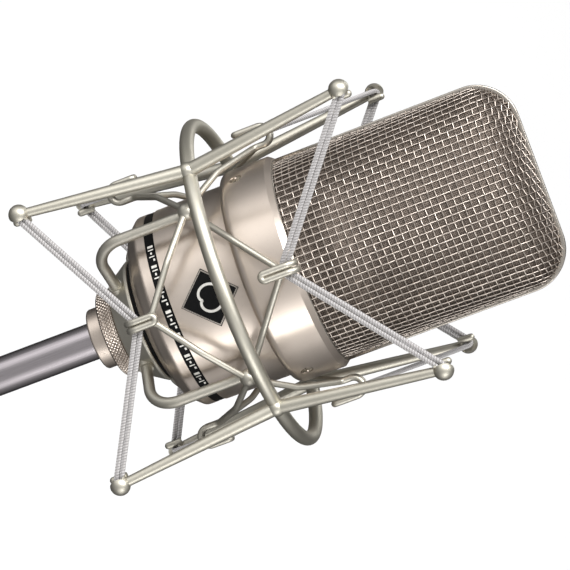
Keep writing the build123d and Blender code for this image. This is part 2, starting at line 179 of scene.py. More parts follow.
HEAD_W, HEAD_H, HEAD_CORNER = 37.0, 84.4, 15.0
RIM_OUT, RIM_IN, RIM_HALF, RIM_ROUND = 0.2, 1.75, 1.6, 0.45
FOOT_R, FOOT_BORE, FOOT_BOTTOM, FOOT_TOP = 37.0, 35.25, -3.0, 0.3
FOOT_SINK, FOOT_CHAMFER, FOOT_STEPS = 0.1, 0.2, 96
ROUND_STEPS, BEND_STEPS = 4, 24


def piece_from(name, vertices, faces=(), edges=()):
    """A new object from points in metres."""
    mesh = bpy.data.meshes.new(name)
    mesh.from_pydata([tuple(v) for v in vertices], [tuple(e) for e in edges], [tuple(f) for f in faces])
    mesh.update()
    made = bpy.data.objects.new(name, mesh)
    bpy.context.scene.collection.objects.link(made)
    return made


def close_faces(rows, size, closed, first=0):
    """Faces between rows of points, numbered from first, each row a ring; closed joins the row ends."""
    faces = []
    for k in range(rows if closed else rows - 1):
        here, following = first + k * size, first + (k + 1) % rows * size
        for s in range(size):
            side = (s + 1) % size
            faces.append([here + s, here + side, following + side, following + s])
    if not closed:
        faces.append([first + s for s in range(size)][::-1])
        faces.append([first + (rows - 1) * size + s for s in range(size)])
    return faces


rim_nickel = blasted_metal("ground nickel-plated rim", "b9b2a9", "a69f96", 0.28, 0.3, 0.08)
section = []
rim_corners = (
    (RIM_OUT, RIM_HALF, 0),
    (-RIM_IN, RIM_HALF, 90),
    (-RIM_IN, -RIM_HALF, 180),
    (RIM_OUT, -RIM_HALF, 270),
)
for corner_out, corner_y, start in rim_corners:
    centre_out = corner_out - math.copysign(RIM_ROUND, corner_out)
    centre_y = corner_y - math.copysign(RIM_ROUND, corner_y)
    for step in range(ROUND_STEPS + 1):
        turn = math.radians(start + 90 * step / ROUND_STEPS)
        section.append((centre_out + RIM_ROUND * math.cos(turn), centre_y + RIM_ROUND * math.sin(turn)))
route = [(HEAD_W, z, 1.0, 0.0) for z in (FOOT_TOP - FOOT_SINK, 20.0, 40.0, 60.0)]
middle_x, middle_z = HEAD_W - HEAD_CORNER, HEAD_H - HEAD_CORNER
for step in range(BEND_STEPS + 1):
    turn = math.radians(90 * step / BEND_STEPS)
    out_x, out_z = math.cos(turn), math.sin(turn)
    route.append((middle_x + HEAD_CORNER * out_x, middle_z + HEAD_CORNER * out_z, out_x, out_z))
route += [(-x, z, -out_x, out_z) for x, z, out_x, out_z in reversed(route)]
rim_points = [place(x + out_x * n, y, z + out_z * n) for x, z, out_x, out_z in route for n, y in section]
rim_faces = close_faces(len(route), len(section), False)
foot = [
    (FOOT_BORE, FOOT_BOTTOM),
    (FOOT_R, FOOT_BOTTOM),
    (FOOT_R, FOOT_TOP - FOOT_CHAMFER),
    (FOOT_R - FOOT_CHAMFER, FOOT_TOP),
    (FOOT_BORE, FOOT_TOP),
]
rim_faces += close_faces(FOOT_STEPS, len(foot), True, len(rim_points))
for step in range(FOOT_STEPS):
    turn = 2 * math.pi * step / FOOT_STEPS
    rim_points += [place(radius * math.sin(turn), -radius * math.cos(turn), z) for radius, z in foot]
rim = piece_from("grille_rim", rim_points, rim_faces)
rim.data.materials.append(rim_nickel)
mended = bmesh.new()
mended.from_mesh(rim.data)
bmesh.ops.recalc_face_normals(mended, faces=mended.faces)
mended.to_mesh(rim.data)
mended.free()
rim.data.polygons.foreach_set("use_smooth", [len(f.vertices) == 4 for f in rim.data.polygons])
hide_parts("grille_frame")
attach(rim, "basket")

# ---------------------------------------------------------------- woven grille
# Front and rear of the head: square weave of 0.44 mm nickel-plated wire at 2.54 mm, drawn over a form
# in one piece each. The cells stay square in the middle and lean over towards the rim. The wires that
# go up the head lie almost straight, and the ones across it take the crimp.

HEAD_TAPER, HEAD_SHOULDER = 0.19, 66.0
PITCH, WIRE, WIRE_SIDES = 2.54, 0.44, 6
WEAVE_INSET = 0.9
WEAVE_END = HEAD_H - WEAVE_INSET - 0.02
WEAVE_START, KNOTS_UP, KNOTS_ACROSS = 26.0, 45, 29
CRIMP_ALONG, CRIMP_ACROSS = 0.08, 0.4
NEAR, FAR, FLAT = 0.65, 0.1, 0.25
TUCK, DIP = 0.3, 0.4


def head_half_width(z, inset):
    above = z - (HEAD_H - HEAD_CORNER)
    if above <= 0:
        return HEAD_W - inset
    return HEAD_W - HEAD_CORNER + math.sqrt(max((HEAD_CORNER - inset) ** 2 - above**2, 0.01))


def head_half_depth(z, inset):
    above = max(z - HEAD_SHOULDER, 0.0) / (HEAD_H - inset - HEAD_SHOULDER)
    return (HEAD_W - inset - HEAD_TAPER * z) * math.sqrt(max(1 - above**2, 0.0005))


def off_surface(p, inset=WEAVE_INSET):
    """Zero on the head's surface, negative inside it."""
    return (p[0] / head_half_width(p[2], inset)) ** 2 + (p[1] / head_half_depth(p[2], inset)) ** 2 - 1


def surface_slope(p):
    step = 1e-3
    return np.array([(off_surface(p + d) - off_surface(p - d)) / (2 * step) for d in np.eye(3) * step])


def next_knot(a, b, guess):
    """The point one pitch from a and from b on the head, nearest to a guess, or None off the head."""
    p, hold = guess.copy(), 400
    for _ in range(12):
        wrong = np.array([(p - a) @ (p - a) - PITCH**2, (p - b) @ (p - b) - PITCH**2, off_surface(p) * hold])
        slopes = np.array([2 * (p - a), 2 * (p - b), surface_slope(p) * hold])
        if abs(np.linalg.det(slopes)) < 1e-6:
            return None
        move = np.linalg.solve(slopes, -wrong)
        size = np.linalg.norm(move)
        p = p + move * min(1.0, 1.0 / max(size, 1e-9))
        if p[2] > WEAVE_END or abs(p[0]) > HEAD_W + 3:
            return None
        if size < 1e-5:
            return p
    return None


def section_knots(z, side):
    """Knots one pitch apart along the level z, from the middle towards one side."""
    knots, angle = [], 0.0
    w, d = head_half_width(z, WEAVE_INSET), head_half_depth(z, WEAVE_INSET)
    last = np.array([0.0, -d, z])
    knots.append(last)
    while angle < math.pi / 2 - 0.01:
        angle += 0.0005
        p = np.array([side * w * math.sin(angle), -d * math.cos(angle), z])
        if np.linalg.norm(p - last) >= PITCH:
            knots.append(p)
            last = p
    return knots


def middle_knots(z, way):
    """Knots one pitch apart up or down the middle line from the level z."""
    knots = [np.array([0.0, -head_half_depth(z, WEAVE_INSET), z])]
    level = z
    while -1.5 < level < WEAVE_END:
        level += way * 0.002
        p = np.array([0.0, -head_half_depth(level, WEAVE_INSET), level])
        if np.linalg.norm(p - knots[-1]) >= PITCH:
            knots.append(p)
    return knots


def weave_net():
    """Knots of the weave on the front of the head, keyed by how far along and up they are."""
    net = {}
    for side in (1, -1):
        for i, p in enumerate(section_knots(WEAVE_START, side)):
            net[side * i, 0] = p
    for way in (1, -1):
        for j, p in enumerate(middle_knots(WEAVE_START, way)):
            net[0, way * j] = p
    for way in (1, -1):
        for side in (1, -1):
            for j in range(1, KNOTS_UP + 1):
                for i in range(1, KNOTS_ACROSS + 1):
                    here, down, across, corner = (
                        (side * i, way * j),
                        (side * i, way * (j - 1)),
                        (side * (i - 1), way * j),
                        (side * (i - 1), way * (j - 1)),
                    )
                    if here in net or not all(k in net for k in (down, across, corner)):
                        continue
                    found = next_knot(net[down], net[across], net[down] + net[across] - net[corner])
                    if found is not None and abs(found[0]) < HEAD_W:
                        net[here] = found
    return net


def woven(p, over, crimp):
    """A knot lifted to the outside or pressed to the inside of the weave."""
    slope = surface_slope(p)
    lift = crimp if over else -crimp
    return p + slope / np.linalg.norm(slope) * lift


def unbroken(items):
    """The runs of two or more between the gaps in a list, a gap being None."""
    runs, run = [], []
    for item in [*items, None]:
        if item is not None:
            run.append(item)
            continue
        if len(run) > 1:
            runs.append(run)
        run = []
    return runs


def bent_wire(run):
    """Points along one wire: each knot, and two between it and the next that ease the bend."""
    points = []
    for (flat_a, a), (flat_b, b) in zip(run, run[1:]):
        middle = (flat_a + flat_b) / 2
        points += [a, a * NEAR + b * FAR + middle * FLAT, a * FAR + b * NEAR + middle * FLAT]
    points.append(run[-1][1])
    return points


def wire_runs(net):
    """The wires' centre lines, as lists of points, cut off where they reach the rim or the base."""
    lines, numbers = [], range(-KNOTS_UP - 1, KNOTS_UP + 2)
    for along in (0, 1):
        crimp = CRIMP_ALONG if along else CRIMP_ACROSS
        for fixed in numbers:
            knots = []
            for k in numbers:
                key = (fixed, k) if along else (k, fixed)
                over = sum(key) % 2 == along
                knots.append((net[key], woven(net[key], over, crimp)) if key in net else None)
            for run in unbroken(knots):
                points = bent_wire(run)
                lines += unbroken([p if p[1] < -(RIM_HALF - TUCK) and p[2] > -DIP else None for p in points])
    return lines


def wire_tree():
    """Geometry nodes that give a net of lines the thickness of wire and a material."""
    tree = bpy.data.node_groups.new("Drawn wire", "GeometryNodeTree")
    for label, kind in (("Geometry",) * 2, ("Wire radius", "Float"), ("Sides", "Int"), ("Material",) * 2):
        tree.interface.new_socket(label, in_out="INPUT", socket_type="NodeSocket" + kind)
    tree.interface.new_socket("Geometry", in_out="OUTPUT", socket_type="NodeSocketGeometry")
    given = add(tree, "NodeGroupInput").outputs
    lines = add(tree, "GeometryNodeMeshToCurve", Mesh=given["Geometry"])
    shape = {"Resolution": given["Sides"], "Radius": given["Wire radius"]}
    profile = add(tree, "GeometryNodeCurvePrimitiveCircle", **shape).outputs[0]
    ends = {"in0": lines.outputs[0], "Profile Curve": profile}
    tube = add(tree, "GeometryNodeCurveToMesh", {"Fill Caps": True}, **ends)
    smooth = add(tree, "GeometryNodeSetShadeSmooth", in0=tube.outputs[0])
    whole = add(tree, "GeometryNodeRealizeInstances", in0=smooth.outputs[0])
    painted = add(tree, "GeometryNodeSetMaterial", in0=whole.outputs[0], Material=given["Material"])
    add(tree, "NodeGroupOutput", in0=painted.outputs[0])
    return tree


def set_inputs(modifier, values):
    """Sets a modifier's inputs by the identifiers of its tree's sockets."""
    for item in modifier.node_group.interface.items_tree:
        if item.item_type == "SOCKET" and item.in_out == "INPUT" and item.name in values:
            modifier[item.identifier] = values[item.name]


def grown(source, name, tree, values):
    """Runs a node tree on an object and keeps the result as a plain mesh."""
    modifier = source.modifiers.new("grow", "NODES")
    modifier.node_group = tree
    set_inputs(modifier, values)
    bpy.context.view_layer.update()
    ready = source.evaluated_get(bpy.context.evaluated_depsgraph_get())
    mesh = bpy.data.meshes.new_from_object(ready)
    source.modifiers.clear()
    source.data = mesh
    mesh.name = source.name = name
    return source


def mesh_wire():
    """Drawn wire, nickel plated: smooth and warm, with a tone and polish that drift from place to place."""
    material, tree, shader = start_material("nickel-plated drawn wire")
    cloud = speckle(tree, 9, 3.0)
    tone = between(tree, "cfc5bc", "a89d93", cloud)
    rough = rescaled(tree, cloud, 0.0, 1.0, 0.24, 0.40)
    feed(tree, shader, {"Base Color": tone, "Roughness": rough, "Metallic": 1.0})
    return material


wire_nodes = wire_tree()
bright_wire = mesh_wire()
runs = wire_runs(weave_net())
for name, facing in (("woven_mesh_front", 1), ("woven_mesh_rear", -1)):
    points, edges = [], []
    for line in runs:
        first = len(points)
        points += [place(facing * p[0], facing * p[1], p[2]) for p in line]
        edges += [(k, k + 1) for k in range(first, len(points) - 1)]
    net = piece_from(name, points, edges=edges)
    drawn = {"Wire radius": WIRE / 2000, "Sides": WIRE_SIDES, "Material": bright_wire}
    net = grown(net, name, wire_nodes, drawn)
    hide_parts("front_grille" if facing > 0 else "rear_grille")
    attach(net, "basket")

# ---------------------------------------------------------------- gauze
# Behind the coarse weave, a fine plain-weave gauze of 0.12 mm bronze-toned wire keeps out breath. It
# reads as a brown-grey cloth with a faint grid. Drawn at 0.85 mm, because the real one is too fine.


GAUZE_PITCH = 0.85


def maths(tree, operation, *terms):
    """A maths node on one to three terms, each a number or another node's output."""
    numbers = {k: term for k, term in enumerate(terms) if isinstance(term, (int, float))}
    sockets = {f"in{k}": term for k, term in enumerate(terms) if k not in numbers}
    return add(tree, "ShaderNodeMath", {"operation": operation, **numbers}, **sockets).outputs[0]


def gauze():
    """Two sets of threads as a grid of waves, broken up by a fine mottle; the colour is painted darker where
    the grid's relief is low, as shade at the crossings.
    """
    material, tree, shader = start_material("fine woven bronze gauze")
    where = add(tree, "ShaderNodeTexCoord").outputs["Object"]
    parts = add(tree, "ShaderNodeSeparateXYZ", Vector=where)
    per_metre = 2 * math.pi * 1000 / GAUZE_PITCH
    threads = [maths(tree, "SINE", maths(tree, "MULTIPLY", parts.outputs[way], per_metre)) for way in "XZ"]
    grid = maths(tree, "MULTIPLY", *threads)
    # Painted shade: the grid's low places, where the relief dips, are painted darker; the random mottle on
    # top is the gauze's own uneven tone.
    grid_shade_and_mottle = maths(tree, "MULTIPLY_ADD", grid, 0.5, speckle(tree, 1.1, 2.0, where))
    colour = between(tree, "2c2520", "7a6f66", rescaled(tree, grid_shade_and_mottle, 0.1, 0.9))
    bump = bumps(tree, grid, 0.6, 0.1)
    feed(tree, shader, {"Base Color": colour, "Normal": bump, "Metallic": 0.75, "Roughness": 0.55})
    return material


bronze_gauze = gauze()
for name in ("front_gauze", "rear_gauze"):
    finish_node(name, bronze_gauze)

# ---------------------------------------------------------------- collar screws
# Four small slotted countersunk screws hold the head to the body. Stainless steel, turned and left
# bright, so they show darker than the blasted collar, with a black slot.

bright_steel = blasted_metal("turned stainless steel", "b7b1a8", "938c84", 0.22, 0.25, 0.1)
finish_node("collar_screws", bright_steel)

# ---------------------------------------------------------------- band and badge
# Black anodised ring round the lower body with a row of small printed marks, and a black enamelled
# square badge set on its corner, with a bright edge and a printed figure: a heart-shaped pickup curve.


def enamel(name, light, dark, roughness):
    """Hard, even enamel with a trace of orange peel."""
    material, tree, shader = start_material(name)
    peel = speckle(tree, 1.6, 1.0)
    tone = between(tree, light, dark, peel)
    bump = bumps(tree, peel, 0.12, 0.04)
    feed(tree, shader, {"Base Color": tone, "Normal": bump, "Roughness": roughness})
    feed(tree, shader, {"Specular IOR Level": 0.12})
    return material


black_enamel = enamel("black enamel", "040404", "0d0d0e", 0.5)
for name in ("band_ring", "badge_plate"):
    finish_node(name, black_enamel)


def plain_finish(name, light, dark, roughness, metallic, mottle_mm, glass=False):
    """Ink, moulding, sheet or glass: two close tones in a fine mottle."""
    material, tree, shader = start_material(name)
    tone = between(tree, light, dark, speckle(tree, mottle_mm, 2.0))
    feed(tree, shader, {"Base Color": tone, "Roughness": roughness, "Metallic": metallic})
    if glass:
        feed(tree, shader, {"Transmission Weight": 0.9, "IOR": 1.5})
    return material


white_ink = plain_finish("white printing ink", "f4f2ec", "a8a59e", 0.5, 0.0, 0.8)
grey_ink = plain_finish("silver printing ink", "c9c7c2", "a8a59e", 0.5, 0.0, 0.8)


def wrapped(radius, x, z):
    """A point x along and z up on the body's round side, x being measured along the curve."""
    angle = x / radius
    return place(radius * math.sin(angle), -radius * math.cos(angle), z)


MARK_SINK = 0.05


def on_body(name, outlines, radius, thickness, material):
    """Thin raised marks on the body, open at the back: each outline is a closed list of (x, z)."""
    points, faces = [], []
    for outline in outlines:
        first, count = len(points), len(outline)
        points += [wrapped(radius + thickness, x, z) for x, z in outline]
        points += [wrapped(radius - MARK_SINK, x, z) for x, z in outline]
        faces.append([first + k for k in range(count)])
        for k in range(count):
            a, b = first + k, first + (k + 1) % count
            faces.append([b, a, a + count, b + count])
    made = piece_from(name, points, faces)
    made.data.materials.append(material)
    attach(made, "basket")
    return made


def ribbon(points, width, closed=False):
    """Quads that follow a line of (x, z) points at a width, each a little longer than its stretch."""
    quads, count, overlap = [], len(points), 0.15
    for k in range(count if closed else count - 1):
        a, b = np.array(points[k]), np.array(points[(k + 1) % count])
        along = (b - a) / np.linalg.norm(b - a)
        side = np.array([-along[1], along[0]]) * width / 2
        reach = along * width * overlap
        corners = (a - side - reach, b - side + reach, b + side + reach, a + side - reach)
        quads.append([tuple(corner) for corner in corners])
    return quads


BAND_R, BAND_Z, BAND_END = 34.9, -46.75, 26.0
MARK_GAP, GROUP_GAP = 0.75, 0.9
BAR, THIN_BAR = (1.0, -0.95, 0.95), (0.45, -0.95, 0.95)
DASH, HIGH_DASH = (0.9, -0.3, 0.3), (0.9, 0.3, 0.95)
marks, x = [], -BAND_END
while x < BAND_END:
    for width, low, high in (BAR, THIN_BAR, DASH, THIN_BAR, HIGH_DASH):
        bottom, top = BAND_Z + low, BAND_Z + high
        marks.append([(x, bottom), (x + width, bottom), (x + width, top), (x, top)])
        x += width + MARK_GAP
    x += GROUP_GAP
on_body("band_marks", marks, BAND_R, 0.06, white_ink)

BADGE_Z, BADGE_HALF, BADGE_R = -31.5, 10.4, 35.8
EDGE_SCALE, EDGE_WIDTH, EDGE_STEPS = 0.955, 0.42, 12
corners = [(0, BADGE_HALF), (BADGE_HALF, 0), (0, -BADGE_HALF), (-BADGE_HALF, 0)]
edge = []
for (ax, az), (bx, bz) in zip(corners, corners[1:] + corners[:1]):
    edge += [(ax + (bx - ax) * t / EDGE_STEPS, az + (bz - az) * t / EDGE_STEPS) for t in range(EDGE_STEPS)]
edge = [(px * EDGE_SCALE, BADGE_Z + pz * EDGE_SCALE) for px, pz in edge]
on_body("badge_edge", ribbon(edge, EDGE_WIDTH, closed=True), BADGE_R, 0.08, rim_nickel)

HEART_REACH, HEART_DROP, HEART_WIDTH, HEART_STEPS = 3.6, 2.6, 0.9, 72
heart = []
for k in range(HEART_STEPS):
    angle = 2 * math.pi * k / HEART_STEPS
    reach = HEART_REACH * (1 + math.cos(angle))
    heart.append((reach * math.sin(angle), BADGE_Z - HEART_DROP + reach * math.cos(angle)))
figure = ribbon(heart, HEART_WIDTH, closed=True)
on_body("badge_figure", figure, BADGE_R, 0.06, grey_ink)

# ---------------------------------------------------------------- cushion ring
# Soft rubber washer between the microphone's base and the basket's cup. Matt black, faintly dusty.


def soft_rubber():
    material, tree, shader = start_material("moulded black rubber")
    tone = between(tree, "040404", "0f0f0f", speckle(tree, 0.7, 3.0))
    feed(tree, shader, {"Base Color": tone, "Roughness": 0.8, "Specular IOR Level": 0.2})
    return material


finish_node("cushion_ring", soft_rubber())

# ---------------------------------------------------------------- capsule and electronics
# Inside the head and body: a brass capsule with gold-sputtered film, its clamp rings and screws on an
# insulating post, then the chassis plates, circuit board, capacitors, transformer and valve.

turned_brass = plain_finish("turned brass", "d9bd7a", "b9974f", 0.28, 1.0, 1.2)
moulded_black = plain_finish("moulded phenolic", "1f1e1d", "2c2a28", 0.5, 0.0, 0.8)
milled_alloy = plain_finish("milled aluminium", "c9cacc", "a9abae", 0.32, 1.0, 0.6)
inner_finishes = {
    "capsule_backplate": turned_brass,
    "clamp_rings": turned_brass,
    "diaphragms": plain_finish("gold-sputtered film", "e6c063", "cfa446", 0.16, 1.0, 3.0),
    "capsule_screws": bright_steel,
    "capsule_post": moulded_black,
    "tube_socket": moulded_black,
    "socket_insert": moulded_black,
    "plug_insert": moulded_black,
    "head_plate": milled_alloy,
    "base_plate": milled_alloy,
    "chassis_posts": milled_alloy,
    "circuit_board": plain_finish("glass-epoxy laminate", "1f5a37", "17442a", 0.4, 0.0, 0.9),
    "coupling_capacitors": plain_finish("polyester film capacitor", "cf8426", "b86e1b", 0.3, 0.0, 2.0),
    "output_transformer": plain_finish("varnished steel laminations", "55524f", "3a3836", 0.45, 0.8, 0.5),
    "amplifier_tube": plain_finish("blown glass", "f2f6f6", "e4eeee", 0.04, 0.0, 4.0, glass=True),
    "connector_pins": plain_finish("gold-plated contact", "e2bf6c", "c9a24c", 0.2, 1.0, 0.8),
}
for name, material in inner_finishes.items():
    finish_node(name, material)

# ---------------------------------------------------------------- connector and cable plug
# Nickel-plated connector barrel and union nut, and the cable plug's long sleeve: a drawn steel tube,
# polished along its length, which gives a neutral grey with long soft streaks.

connector_nickel = blasted_metal("nickel-plated connector", "d6cabf", "c2b5a9", 0.34, 0.3, 0.2)
for name in ("connector_shell", "plug_nut"):
    finish_node(name, connector_nickel)


def drawn_steel():
    material, tree, shader = start_material("polished drawn steel tube")
    where = add(tree, "ShaderNodeTexCoord").outputs["Object"]
    long_way = add(tree, "ShaderNodeMapping", {"Scale": (1.0, 1.0, 0.03)}, Vector=where)
    streak = speckle(tree, 0.35, 2.0, long_way.outputs[0])
    tone = between(tree, "b5afb2", "9c9699", streak)
    bump = bumps(tree, streak, 0.15, 0.03)
    feed(tree, shader, {"Base Color": tone, "Normal": bump, "Metallic": 1.0, "Roughness": 0.24})
    return material


finish_node("plug_sleeve", drawn_steel())

# ---------------------------------------------------------------- basket
# Turned cup, four bent legs and eight bent hook wires, brazed at small knuckles and plated together
# in satin nickel. The plating is greyer and slightly greenish next to the microphone's champagne.

basket_nickel = blasted_metal("satin nickel plate on brazed steel", "c9c5ba", "b8b4a8", 0.46, 0.5, 0.45)
finish_node("basket_cup", basket_nickel)
finish_node("leg_joints", basket_nickel)
for k in (1, 2, 3, 4):
    for part in ("basket_leg", "rear_hook", "front_hook"):
        finish_node(f"{part}_{k}", basket_nickel)

# ---------------------------------------------------------------- knurled clamping ring
# Screwed up under the cup to hold the microphone. Turned steel, diamond-knurled at a 1.5 mm pitch, edges
# chamfered, then plated. The cuts between the diamonds are painted darker as shade, so the points stand out
# light.

low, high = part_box("knurled_ring")
RING_BOTTOM, RING_TOP = (low[2] - TOP_Z) * 1000, (high[2] - TOP_Z) * 1000
RING_R, RING_BORE = (high[0] - low[0]) * 500, 9.55
RING_BEVEL, RING_LAND = 0.9, 0.5
KNURL_COUNT, KNURL_DEPTH, KNURL_RISE = 66, 0.36, 1.45
AROUND, UP = KNURL_COUNT * 4, 22
ring_points, ring_faces = [], []
knurl_height = RING_TOP - RING_BOTTOM - 2 * RING_LAND
profile = [(RING_BORE, RING_BOTTOM), (RING_R - RING_BEVEL, RING_BOTTOM)]
profile += [(RING_R, RING_BOTTOM + RING_LAND + knurl_height * k / UP) for k in range(UP + 1)]
profile += [(RING_R - RING_BEVEL, RING_TOP), (RING_BORE, RING_TOP)]
for s in range(AROUND):
    angle = 2 * math.pi * s / AROUND
    for k, (radius, z) in enumerate(profile):
        if 1 < k < len(profile) - 2:
            turn = angle * KNURL_COUNT
            rise = 2 * math.pi * (z - RING_BOTTOM) / KNURL_RISE
            cut = max(abs(math.sin((turn + rise) / 2)), abs(math.sin((turn - rise) / 2)))
            radius -= KNURL_DEPTH * cut**2
        ring_points.append(place(radius * math.sin(angle), -radius * math.cos(angle), z))
rows = len(profile)
for s in range(AROUND):
    following = (s + 1) % AROUND
    for k in range(rows):
        up = (k + 1) % rows
        ring_faces.append([s * rows + k, following * rows + k, following * rows + up, s * rows + up])
knurl = piece_from("knurled_clamp_ring", ring_points, ring_faces)
knurl_map = knurl.data.uv_layers.new(name="UVMap")
for face in knurl.data.polygons:
    s, k = divmod(face.index, rows)
    for loop, (ahead, up) in zip(face.loop_indices, ((0, 0), (1, 0), (1, 1), (0, 1))):
        z = profile[(k + up) % rows][1]
        knurl_map.data[loop].uv = ((s + ahead) / AROUND * KNURL_COUNT, (z - RING_BOTTOM) / KNURL_RISE)


def crossed_waves(tree, around, along, angle):
    """Two sets of sine waves over the UV map that slant across each other, one each way."""
    uv = add(tree, "ShaderNodeUVMap", {"uv_map": "UVMap"})
    parts = add(tree, "ShaderNodeSeparateXYZ", Vector=uv.outputs[0])
    u = maths(tree, "MULTIPLY", parts.outputs[0], around)
    v = maths(tree, "MULTIPLY", parts.outputs[1], along)
    slants = [maths(tree, way, u, v) for way in ("ADD", "SUBTRACT")]
    return [maths(tree, "SINE", maths(tree, "MULTIPLY", slant, angle)) for slant in slants]


def knurled_steel():
    """Nickel plate over a cut knurl, in one plated tone, with painted shade darkening the cuts between the
    points.
    """
    material, tree, shader = start_material("nickel-plated knurled steel")
    cuts = [maths(tree, "ABSOLUTE", wave) for wave in crossed_waves(tree, 1.0, 1.0, math.pi)]
    # Painted shade: the colour runs from the plated tone on the points to a dark brown-grey deep in the
    # cuts.
    cut_shade = rescaled(tree, maths(tree, "MAXIMUM", *cuts), 0.68, 1.0)
    tone = between(tree, "e0d5ca", "8d8178", cut_shade)
    feed(tree, shader, {"Base Color": tone, "Metallic": 1.0, "Roughness": 0.36})
    return material


knurl.data.materials.append(knurled_steel())
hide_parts("knurled_ring")
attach(knurl, "clamp_ring")

# ---------------------------------------------------------------- cage
# A ring of 5 mm rod and four bent, tapered rods with notched ball ends, brazed where they cross, then
# blasted and plated in satin nickel.

cage_nickel = blasted_metal("satin nickel plate on bent rod", "c7c3b7", "b6b2a5", 0.46, 0.55, 0.45)
finish_node("cage_ring", cage_nickel)
finish_node("ring_bracket", cage_nickel)
for k in (1, 2, 3, 4):
    finish_node(f"cage_rod_{k}", cage_nickel)

# ---------------------------------------------------------------- elastic cords
# Two zigzag loops, each of two strands of elastic side by side: rubber core in a braided sleeve of
# silvery grey thread with a dark tracer, stretched round the balls of the cage and the hooks.

CORD_R, CORD_SIDES, BRAID_TURN = 0.875, 12, 5.4
SEAT_IN, SEAT_UP, SEAT_TURN = 0.8, 0.9, 3.0
HOOK_RUN, BALL_RUN = 8.0, 10.0

# Distance from the axis and height where the cord turns at a ball and at a hook, the gap between its
# two strands, and the side of the balls that it lies on.
loops = {
    "rear_elastic": ((68.3, -80.0), (46.0, -56.15), 2.0, -1),
    "front_elastic": ((69.1, 35.5), (47.1, -2.05), 2.3, 1),
}


def cord_route(ball, hook, lift, side):
    """One strand's control points in millimetres: each corner, and a point on the run either side of it."""
    ball_r, ball_z = ball
    crossing = Vector((ball_r - SEAT_IN, 0, ball_z + side * SEAT_UP))
    hook_r, hook_z = hook
    at_ball = Vector((crossing.x * math.sqrt(0.5), -crossing.x * math.sqrt(0.5), crossing.z))
    near, far = Vector((0, -hook_r, hook_z)), Vector((hook_r, 0, hook_z))
    turn = math.pi - (near - at_ball).angle(far - at_ball)
    overshoot = SEAT_TURN * (1 / math.cos(turn / 2) - 1)
    inward = Vector((hook_r * math.sqrt(0.5) - crossing.x, 0, hook_z - crossing.z)).normalized()
    corner = crossing - inward * overshoot
    corners = []
    for quarter in range(4):
        for radius, height, azimuth in ((hook_r, hook_z, 0), (corner.x, corner.z, 45)):
            angle = math.radians(azimuth + 90 * quarter)
            corners.append(Vector((radius * math.sin(angle), -radius * math.cos(angle), height + lift)))
    route = []
    for k, point in enumerate(corners):
        reach = HOOK_RUN if k % 2 == 0 else BALL_RUN
        before = (corners[k - 1] - point).normalized() * reach
        after = (corners[(k + 1) % 8] - point).normalized() * reach
        route += [point + before, point, point + after]
    return route


def smooth_line(route):
    """Evenly flowing points along a closed curve through the route."""
    curve = bpy.data.curves.new("line", "CURVE")
    curve.dimensions = "3D"
    curve.resolution_u = 10
    spline = curve.splines.new("NURBS")
    spline.points.add(len(route) - 1)
    for point, where in zip(spline.points, route):
        point.co = (*where, 1.0)
    spline.use_cyclic_u = True
    spline.order_u = 3
    holder = bpy.data.objects.new("line", curve)
    mesh = bpy.data.meshes.new_from_object(holder)
    line = [v.co.copy() for v in mesh.vertices]
    bpy.data.objects.remove(holder)
    return line


def tube_round(line, first):
    """A closed tube round a line: its points, its faces numbered from first, and its UV corners."""
    count, lengths = len(line), [0.0]
    for k in range(count):
        lengths.append(lengths[-1] + (line[(k + 1) % count] - line[k]).length)
    per_turn = lengths[-1] / round(lengths[-1] / BRAID_TURN)
    points, corners = [], []
    for k in range(count):
        along = (line[(k + 1) % count] - line[k - 1]).normalized()
        across = along.cross(Vector((0, 0, 1))).normalized()
        up = across.cross(along).normalized()
        v0, v1 = lengths[k] / per_turn, lengths[k + 1] / per_turn
        for s in range(CORD_SIDES):
            angle = 2 * math.pi * s / CORD_SIDES
            outward = across * math.cos(angle) + up * math.sin(angle)
            points.append(place(*(line[k] + outward * CORD_R)))
            u0, u1 = s / CORD_SIDES, (s + 1) / CORD_SIDES
            corners += [(u0, v0), (u1, v0), (u1, v1), (u0, v1)]
    return points, close_faces(count, CORD_SIDES, True, first), corners


def braid():
    """A braided sleeve: two sets of crossing threads, a dark tracer in one of them, and painted shade that
    darkens the silver where the braid's relief is low.
    """
    material, tree, shader = start_material("braided elastic sleeve")
    threads = crossed_waves(tree, 2.0, 5.5, 2 * math.pi)
    relief = maths(tree, "MULTIPLY", *threads)
    tracer = rescaled(tree, threads[0], 0.2, 0.95, 0.0, 0.7)
    # Painted shade: the silver grey is darker where the relief is low, between the raised threads.
    silver = between(tree, "8e8b8b", "cbc8c7", rescaled(tree, relief, -1.0, 1.0))
    colour = add(tree, "ShaderNodeMixRGB", {2: srgb("57524f")}, Fac=tracer, Color1=silver).outputs[0]
    bump = bumps(tree, relief, 0.8, 0.2)
    feed(tree, shader, {"Base Color": colour, "Normal": bump, "Roughness": 0.5, "Sheen Weight": 0.3})
    return material


braided = braid()
for name, (ball, hook, spacing, side) in loops.items():
    points, faces, coords = [], [], []
    for lift in (0.0, -side * spacing):
        line = smooth_line(cord_route(ball, hook, lift, side))
        strand = tube_round(line, len(points))
        points += strand[0]
        faces += strand[1]
        coords += strand[2]
    cord = piece_from(f"braided_{name}", points, faces)
    sleeve_map = cord.data.uv_layers.new(name="UVMap")
    for loop, pair in zip(sleeve_map.data, coords):
        loop.uv = pair
    cord.data.polygons.foreach_set("use_smooth", [True] * len(faces))
    cord.data.materials.append(braided)
    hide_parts(name)
    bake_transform(cord)

# ---------------------------------------------------------------- stand mount
# Die-cast fork and socket and the locking lever in black powder coat, on a zinc-plated bolt with fibre
# washers, and a steel bushing with the stand thread. Powder coat has a fine, even orange peel.


